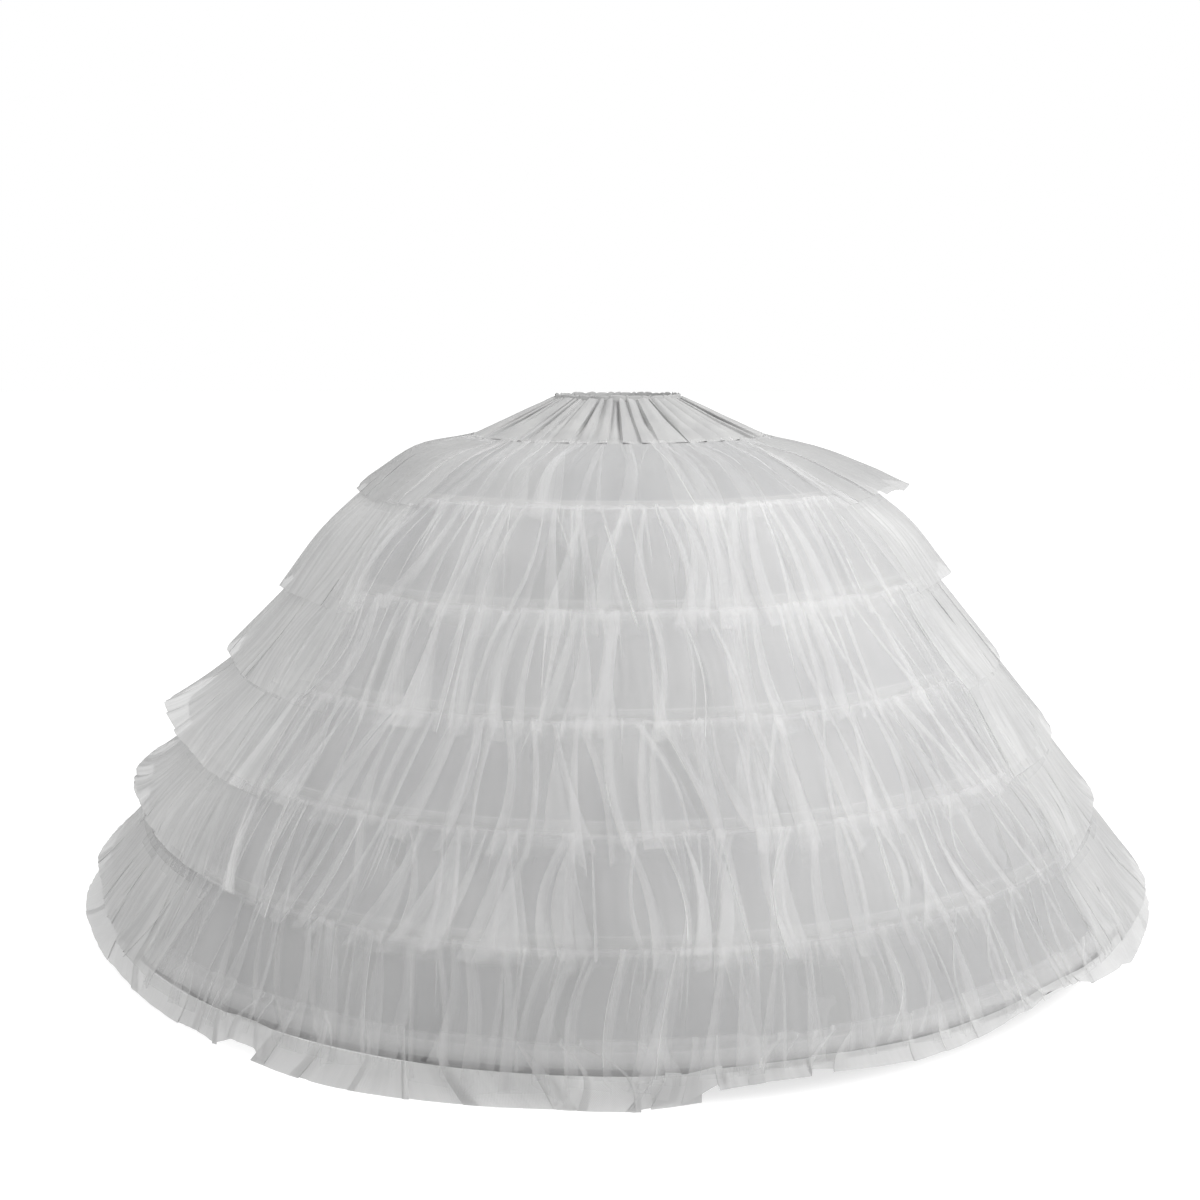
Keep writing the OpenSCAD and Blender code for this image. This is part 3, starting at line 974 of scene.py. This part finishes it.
def makeLining(tier):
    look = liningLook
    rng = np.random.default_rng(200 + tier)
    length = tierLength(tier)
    middle = (seams[tier - 1] + seams[tier]) / 2
    path = pathFrom((seams[tier - 1], middle, seams[tier]), 0.01, 0.012, 0.0)
    casingLow, casingHigh = casingEdges(tier)
    inset, wide = look["stitchIn"], look["stitchWide"]
    lowStitch, highStitch = casingLow + inset, casingHigh - inset
    rolled = look["hemRoll"] if tier == hoopCount else ()
    # rows from the hem up: height over the seam, and shares of the casing's and the stitching's colour
    rows = [(-below, 0, 0) for below, within in rolled]
    rows += [(0, 0, 0), (casingLow / 2, 0, 0), (casingLow, 0, 0)]
    rows += [(lowStitch - wide, 1, 0), (lowStitch, 1, 1), (lowStitch + wide, 1, 0)]
    rows += [((casingLow + casingHigh) / 2, 1, 0)]
    rows += [(highStitch - wide, 0.8, 0), (highStitch, 0.6, 1), (highStitch + wide, 0.5, 0)]
    rows += [(casingHigh, 0.4, 0), (casingHigh + 0.003, 0, 0)]
    rows += [(up, 0, 0) for up in np.linspace(casingHigh + 0.007, length - 0.004, look["plainRows"])]
    lapUp, lapOut = look["lap"] if tier > 1 else (0.0, 0.0)
    rows += [(length, 0, 0), (length + lapUp, 0, 0)] if tier > 1 else [(length, 0, 0)]
    up, casing, stitch = (np.array(part, float)[::-1] for part in zip(*rows))
    down = length - up
    angle = np.linspace(0, fullTurn, look["columns"] + 1)
    angle[-1] = 0
    calm = look["calmEdge"]
    free = np.clip((down - 0.004) / calm, 0, 1) * np.clip((up - casingHigh) / calm, 0, 1)
    ripple = wave(angle, rng, 14, 44) * 0.5 + wave(angle, rng, 30, 70) * 0.25
    raised = np.clip((up - lowStitch) / 0.003, 0, 1) * np.clip((highStitch - up) / 0.003, 0, 1)
    within = np.concatenate((np.zeros(len(rows) - len(rolled)), [inward for below, inward in rolled][::-1]))
    out = free[:, None] * ripple[None, :] * look["ripple"]
    out = out + (raised * look["casingRidge"] - within)[:, None]
    out = out + bowed(tier, down)[:, None]
    out = out + np.clip(1 - down / look["lapReach"], 0, 1)[:, None] * lapOut
    radius, height = onPath(path, down[:, None] + 0 * angle, out)
    points = turned(radius, angle[None, :], height)
    across = np.linspace(0, fullTurn, look["columns"] + 1) * seams[tier][0]
    # painted shade of the bottom hoop: full on the rolled rows, fading out a few millimetres up
    hem = np.clip(1.15 - up / look["hemDark"], 0, 1) if rolled else 0 * up
    level = np.ones(len(angle))
    marks = {"casing": casing, "stitch": stitch, "hem": hem}
    marks = {key: values[:, None] * level for key, values in marks.items()}
    piece = clothRing(f"lining{tier}", points, across, down, marks)
    thickened(piece, look["thick"])
    piece.data.materials.append(lining)
    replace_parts(piece, f"lining_tier_{tier}")


for tier in range(1, hoopCount + 1):
    makeLining(tier)
print("lining tiers:", hoopCount)


# yoke: gathered cloth from the waistband to the first seam

yokeLook = {
    "gathers": 54,
    "stray": 0.35,  # how uneven they are
    "topTurn": (70, 130),  # degrees that the cloth turns at a gather, at three levels
    "midTurn": (50, 140),
    "lowTurn": (25, 100),
    "topRun": (0.0005, 0.003),  # how far it folds back there
    "midRun": (0.001, 0.006),
    "lowRun": (0.0005, 0.004),
    "midAt": 0.45,  # share of the way down
    "drift": 0.004,
    "roll": 0.0016,
    "puff": (0.001, 0.0045),  # how far the cloth rounds out between two gathers
    "topOut": 0.0035,  # outside the waistband
    "topDown": 0.002,  # below its top
    "sag": (0.001, 0.002),  # in and down, half way
    "thick": 0.0008,
    "rows": 20,
}


def makeYoke():
    look = yokeLook
    rng = np.random.default_rng(300)
    count = look["gathers"]
    top = np.array((waistRadius + look["topOut"], waistTop - look["topDown"]))
    corners = (top, top + (seams[0] - top) * 0.5 - np.array(look["sag"]), seams[0])
    path = pathFrom(corners, 0.0, 0.004, 0.014)
    length = float(sum(np.linalg.norm(b - a) for a, b in zip(corners, corners[1:])))
    down = np.linspace(0, length, look["rows"])
    u = (down / length)[:, None]
    angle = fullTurn * (np.arange(count) + rng.uniform(-look["stray"], look["stray"], count)) / count
    midAt = look["midAt"]

    def blend(key):
        high, mid, low = (rng.uniform(*look[part + key], count)[None, :] for part in ("top", "mid", "low"))
        upper = np.clip(u / midAt, 0, 1)
        lower = np.clip((u - midAt) / (1 - midAt), 0, 1)
        return high + (mid - high) * upper + (low - mid) * lower

    rounded = 0.4 * (1 - u ** 8) + 0.6 * np.sin(math.pi * u)  # sewn down at the seam
    pleats = {
        "angle": angle[None, :],
        "shift": rng.normal(0, look["drift"], count)[None, :] * u,
        "run": blend("Run"),
        "turn": np.radians(blend("Turn")),
        "roll": look["roll"] + 0 * u + np.zeros((1, count)),
        "side": np.where(rng.random(count) < 0.5, 1.0, -1.0),
        "puff": rounded * rng.uniform(*look["puff"], count)[None, :],
    }
    straight = np.zeros((count, 2))
    piece, width = foldedCloth("gatheredYoke", path, down, 0.0 * down, pleats, straight, (5, 2, 8))
    thickened(piece, look["thick"])
    piece.data.materials.append(waistCloth)
    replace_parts(piece, "yoke")


makeYoke()
print("yoke made")


# waistband: cloth folded over the elastic and drawn up into small gathers, with a frilled top edge

waistLook = {
    "gathers": 46,
    "columnsEach": 8,
    "bulge": 0.0024,  # how far a gather stands out
    "inside": 0.0028,  # from the elastic's outer face in to the band's inner leaf
    "outside": 0.0008,  # and out to its outer leaf
    "frill": 0.0035,  # height of the frill over the elastic
    "scallop": 0.0035,  # how far its edge rises at the middle of a gather
    "uneven": 0.35,  # how far gathers move aside, as a share of their width
    "least": (0.45, 0.3),  # smallest share of the bulge and of the scallop
}


def makeWaistband():
    look = waistLook
    rng = np.random.default_rng(310)
    gathers, each = look["gathers"], look["columnsEach"]
    columns = gathers * each
    inner = halfWidth("waist_elastic") - look["inside"]
    outer = halfWidth("waist_elastic") + look["outside"]
    line = np.arange(columns + 1)
    warp = wave(fullTurn * line / columns, rng, 6, 30) * look["uneven"] * fullTurn / gathers
    angle = fullTurn * line / columns + warp
    angle[-1] = angle[0]
    phase = (line % each) / each
    index = (line // each) % gathers
    leastBulge, leastRise = look["least"]
    size = rng.uniform(leastBulge, 1, gathers)
    bulge = np.abs(np.sin(math.pi * phase)) ** 0.7 * size[index]
    height = rng.uniform(leastRise, 1, gathers)[index] * np.abs(np.sin(math.pi * phase)) ** 0.6
    frillTop = waistTop + look["frill"]
    # radius, height, and the share of a gather's bulge and scallop at each row
    rows = (
        (inner, waistLow, 0.1, 0),
        (inner, 0, 0.15, 0),
        (inner + 0.0002, waistTop - 0.001, 0.1, 0),
        (inner + 0.0008, waistTop + 0.0006, 0.2, 0),
        (inner + 0.0004, frillTop - 0.0012, 0.6, 0.8),
        (inner + 0.0010, frillTop, 0.7, 1),
        (inner + 0.0020, frillTop - 0.0010, 0.9, 0.8),
        (inner + 0.0026, waistTop + 0.0008, 0.5, 0),
        (outer - 0.0002, waistTop - 0.0008, 0.5, 0),
        (outer, waistTop - 0.004, 0.9, 0),
        (outer + 0.0002, 0, 1, 0),
        (outer + 0.0002, waistLow + 0.003, 0.9, 0),
        (outer, waistLow - 0.0005, 0.6, 0),
        (outer - 0.0012, waistLow - 0.0016, 0.4, 0),
    )
    radius = np.array([r + share * bulge * look["bulge"] for r, z, share, lift in rows])
    level = np.array([z + lift * height * look["scallop"] for r, z, share, lift in rows])
    points = turned(radius, angle[None, :], level)
    steps = np.linalg.norm(np.diff(points, axis=1), axis=2).mean(axis=0)
    across = np.concatenate(([0.0], np.cumsum(steps)))
    climb = np.linalg.norm(np.diff(points, axis=0), axis=2).mean(axis=1)
    along = np.concatenate(([0.0], np.cumsum(climb)))
    piece = clothRing("ruchedWaistband", points, across, along)
    piece.data.materials.append(waistCloth)
    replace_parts(piece, "waistband")


makeWaistband()
print("waistband made")


# casings: tapes sewn inside the lining along both edges, with a pocket for the hoop

casingLook = {
    "columns": 240,
    "thick": 0.0006,
    "edgeDepth": 0.0021,  # inside the lining's outer face, at the sewn edges
    "pocketDepth": 0.0057,
    "sewnWidth": 0.004,
    "webWidth": 0.0022,
    "pucker": 0.0004,
}


def makeCasing(tier):
    look = casingLook
    rng = np.random.default_rng(400 + tier)
    length = tierLength(tier)
    middle = (seams[tier - 1] + seams[tier]) / 2
    path = pathFrom((seams[tier - 1], middle, seams[tier]), 0.0, 0.004, 0.0)
    low, high = casingEdges(tier)
    sewn, web = look["sewnWidth"], look["webWidth"]
    up = np.concatenate((
        np.linspace(low, low + sewn, 4),
        np.linspace(low + sewn + web, high - sewn - web, 6),
        np.linspace(high - sewn, high, 4),
    ))
    pocket = np.clip((up - low - sewn) / web, 0, 1) * np.clip((high - sewn - up) / web, 0, 1)
    pocket = pocket * pocket * (3 - 2 * pocket)
    angle = np.linspace(0, fullTurn, look["columns"] + 1)
    angle[-1] = 0
    ripple = (wave(angle, rng, 40, 110) * look["pucker"])[None, :] * (1 - pocket[:, None])
    edge, deep = look["edgeDepth"], look["pocketDepth"]
    depth = edge + (deep - edge) * pocket[:, None] + np.abs(ripple)
    radius, height = onPath(path, (length - up)[:, None] + 0 * angle, -depth)
    points = turned(radius, angle[None, :], height)
    across = np.linspace(0, fullTurn, look["columns"] + 1) * seams[tier][0]
    steps = np.linalg.norm(np.diff(points[:, 0], axis=0), axis=1)
    along = np.concatenate(([0.0], np.cumsum(steps)))
    piece = clothRing(f"hoopTape{tier}", points, across, along)
    thickened(piece, look["thick"])
    piece.data.materials.append(casingTape)
    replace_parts(piece, f"hoop_casing_{tier}")


for tier in range(1, hoopCount + 1):
    makeCasing(tier)
print("casings made")


# the hoops, their joiners and the elastic keep their own shapes

for name, cad in cadNodes.items():
    if cad.hide_render:
        continue
    finish = next(f for start, f in cadFinishes.items() if name.startswith(start))
    cad.data.materials.clear()
    cad.data.materials.append(finish)
print("hoops, joiners and elastic finished")


# camera, floor and light

cameraLook = {
    "distance": 2.6,  # from the skirt's axis
    "above": 0.09,  # above the waist
    "tilt": 9.8,  # degrees down
    "lens": 43.56,
    "shiftX": -0.015,
}


def makeCamera():
    look = cameraLook
    data = bpy.data.cameras.new("camera")
    data.sensor_width = 36
    data.lens = look["lens"]
    data.shift_x = look["shiftX"]
    camera = bpy.data.objects.new("camera", data)
    camera.location = (0, -look["distance"], look["above"])
    camera.rotation_euler = (math.radians(90 - look["tilt"]), 0, 0)
    bpy.context.scene.collection.objects.link(camera)
    bpy.context.scene.camera = camera


stageLook = {
    "floorGlow": 0.70,  # near the object, where its shadow lies
    "farGlow": 1.0,
    "farFrom": (1.0, 2.2),  # metres from the axis, where the glow grows from one to the other
    "floorPale": 0.45,
    "floorBounce": 0.15,
    "softWorld": 0.36,
    "floorSize": 30,
    "floorGap": 0.004,  # below the hem
    "floorRough": 0.9,
    # each lamp's place, width in metres and power in watts
    "key": ((2.35, -1.2, 1.9), 2.6, 128),
    "fill": ((-2.4, -1.2, 1.9), 2.4, 64),
    "lampsAim": (0, 0, -0.3),
    "netLayers": 48,  # how many layers of net light passes through
}


def seenDirectly(nodes, links):
    # 1 for what the camera, a mirror or clear glass shows, and 0 for light on the object
    path = node(nodes, "ShaderNodeLightPath")
    first = math2(nodes, links, "MAXIMUM", path.outputs["Is Camera Ray"], path.outputs["Is Glossy Ray"])
    return math2(nodes, links, "MAXIMUM", first, path.outputs["Is Transmission Ray"])


def makeFloor():
    look = stageLook
    mesh = bpy.data.meshes.new("floor")
    bm = bmesh.new()
    bmesh.ops.create_grid(bm, x_segments=1, y_segments=1, size=look["floorSize"])
    bmesh.ops.translate(bm, verts=bm.verts, vec=(0, 0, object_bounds()[0].z - look["floorGap"]))
    bm.to_mesh(mesh)
    bm.free()
    floor = bpy.data.objects.new("floor", mesh)
    bpy.context.scene.collection.objects.link(floor)
    material, nodes, links, shader = plainMaterial("floor", [look["floorBounce"]] * 3, look["floorRough"])
    glow = node(nodes, "ShaderNodeEmission", Color=(1, 1, 1, 1), Strength=look["floorGlow"])
    pale = node(nodes, "ShaderNodeBsdfDiffuse", Color=(*[look["floorPale"]] * 3, 1))
    seen = node(nodes, "ShaderNodeAddShader")
    mix = node(nodes, "ShaderNodeMixShader")
    place = node(nodes, "ShaderNodeTexCoord")
    away = node(nodes, "ShaderNodeVectorMath", operation="LENGTH")
    grow = node(nodes, "ShaderNodeMapRange", interpolation_type="SMOOTHSTEP")
    for socket, value in zip(grow.inputs[1:5], (*look["farFrom"], look["floorGlow"], look["farGlow"])):
        socket.default_value = value
    links.new(place.outputs["Object"], away.inputs[0])
    links.new(away.outputs["Value"], grow.inputs["Value"])
    links.new(grow.outputs["Result"], glow.inputs["Strength"])
    links.new(glow.outputs[0], seen.inputs[0])
    links.new(pale.outputs[0], seen.inputs[1])
    links.new(seenDirectly(nodes, links), mix.inputs[0])
    links.new(shader.outputs[0], mix.inputs[1])
    links.new(seen.outputs[0], mix.inputs[2])
    links.new(mix.outputs[0], nodes["Material Output"].inputs["Surface"])
    mesh.materials.append(material)


def makeWorld():
    world = bpy.data.worlds.new("studio")
    bpy.context.scene.world = world
    world.use_nodes = True
    nodes, links = world.node_tree.nodes, world.node_tree.links
    soft = nodes["Background"]
    soft.inputs["Color"].default_value = (1, 1, 1, 1)
    soft.inputs["Strength"].default_value = stageLook["softWorld"]
    white = node(nodes, "ShaderNodeBackground", Color=(1, 1, 1, 1), Strength=1.0)
    mix = node(nodes, "ShaderNodeMixShader")
    links.new(seenDirectly(nodes, links), mix.inputs[0])
    links.new(soft.outputs[0], mix.inputs[1])
    links.new(white.outputs[0], mix.inputs[2])
    links.new(mix.outputs[0], nodes["World Output"].inputs["Surface"])


def makeLamp(name):
    place, size, power = stageLook[name]
    data = bpy.data.lights.new(name, "AREA")
    data.shape = "DISK"
    data.size = size
    data.energy = power
    lamp = bpy.data.objects.new(name, data)
    lamp.location = place
    aim = Vector(stageLook["lampsAim"]) - Vector(place)
    lamp.rotation_euler = aim.to_track_quat("-Z", "Y").to_euler()
    bpy.context.scene.collection.objects.link(lamp)


makeCamera()
makeFloor()
makeWorld()
makeLamp("key")
makeLamp("fill")
bpy.context.scene.cycles.transparent_max_bounces = stageLook["netLayers"]
bpy.context.scene.view_settings.view_transform = "Standard"
print("stage set")
